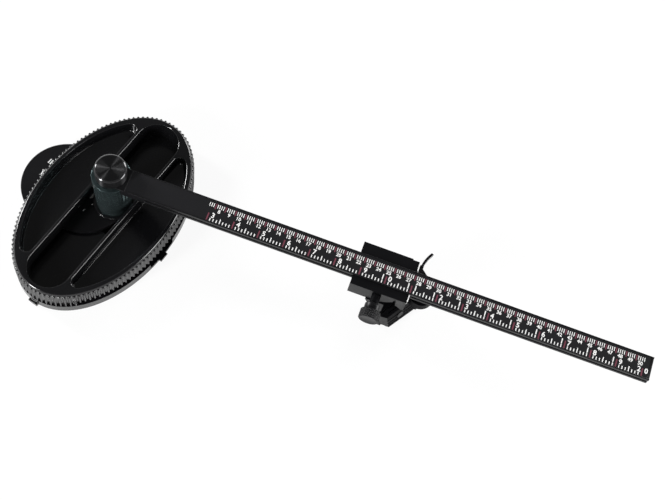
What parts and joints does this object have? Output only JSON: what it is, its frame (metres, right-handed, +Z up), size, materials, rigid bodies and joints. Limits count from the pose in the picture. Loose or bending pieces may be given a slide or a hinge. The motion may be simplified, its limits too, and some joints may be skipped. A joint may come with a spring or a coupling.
{
  "type": "oval mat cutter",
  "caption": "Oval base with a fluted rim and a long channel, a turning arm with a printed scale, and a sliding cutting head with a clamp screw, slanted blade and depth lever.",
  "frame": {"origin": "middle of the oval base at its underside", "axes": "+X along the arm's bar toward its free end at rest, +Z up"},
  "size_m": [0.3177, 0.1104, 0.0458],
  "materials": {
    "black_plastic": "satin black",
    "black_metal": "black anodised",
    "grey_metal": "dull grey-green",
    "steel": "bright",
    "white_nylon": "matte",
    "printed_strip": "black with white and red print",
    "white_mark": "matte white"
  },
  "bodies": {
    "base": {"base_plate": "black_plastic", "oval_body": "black_plastic", "body_screws": "steel"},
    "glide": {"glide_button": "white_nylon"},
    "arm": {"guide_plate": "black_metal", "cross_shoe": "white_nylon", "shoe_screw": "steel", "channel_shoe": "black_plastic", "hub_post": "grey_metal", "post_screw": "steel", "scale_bar": "black_metal", "scale_strip": "printed_strip"},
    "cap": {"cap_knob": "black_metal"},
    "head": {"carriage": "black_plastic", "index_line": "white_mark", "foot_block": "black_plastic", "pivot_pin": "steel"},
    "clamp": {"clamp_shoe": "steel"},
    "screw": {"thumb_screw": "black_metal"},
    "blade_carrier": {"blade_arm": "black_metal", "blade": "steel", "blade_clamp": "black_metal", "blade_screw": "black_metal"},
    "lever": {"depth_lever": "black_plastic", "lever_ring": "steel"}
  },
  "joints": [
    {"name": "glide_round", "type": "hinge", "parent": "base", "child": "glide", "pos_m": [0, 0, 0], "axis": [0, 0, 1], "continuous": true},
    {"name": "arm_turn", "type": "hinge", "parent": "glide", "child": "arm", "pos_m": [-0.01084, 0.00662, 0], "axis": [0, 0, 1], "continuous": true},
    {"name": "cap_turn", "type": "hinge", "parent": "arm", "child": "cap", "pos_m": [0.00186, 0.00662, 0.0388], "axis": [0, 0, 1], "range_deg": [0, 360]},
    {"name": "head_slide", "type": "slide", "parent": "arm", "child": "head", "axis": [1, 0, 0], "range_m": [-0.09525, 0.1143]},
    {"name": "clamp_slide", "type": "slide", "parent": "head", "child": "clamp", "axis": [0, -1, 0], "range_m": [0, 0.0008]},
    {"name": "thumb_turn", "type": "hinge", "parent": "clamp", "child": "screw", "pos_m": [0.13896, -0.00098, 0.035], "axis": [0, -1, 0], "range_deg": [0, 360]},
    {"name": "blade_swing", "type": "hinge", "parent": "head", "child": "blade_carrier", "pos_m": [0.15807, 0.01659, 0.00685], "axis": [0.824, -0.527, 0.2079], "range_deg": [0, 3.5]},
    {"name": "lever_turn", "type": "hinge", "parent": "head", "child": "lever", "pos_m": [0.15906, 0.00662, 0.0312], "axis": [0, 0, 1], "range_deg": [-60, 0]}
  ],
  "couplings": [
    {"joint": "glide_round", "follows": "arm_turn", "ratio": -0.5},
    {"joint": "thumb_turn", "follows": "clamp_slide", "rad_per_m": 7854}
  ]
}
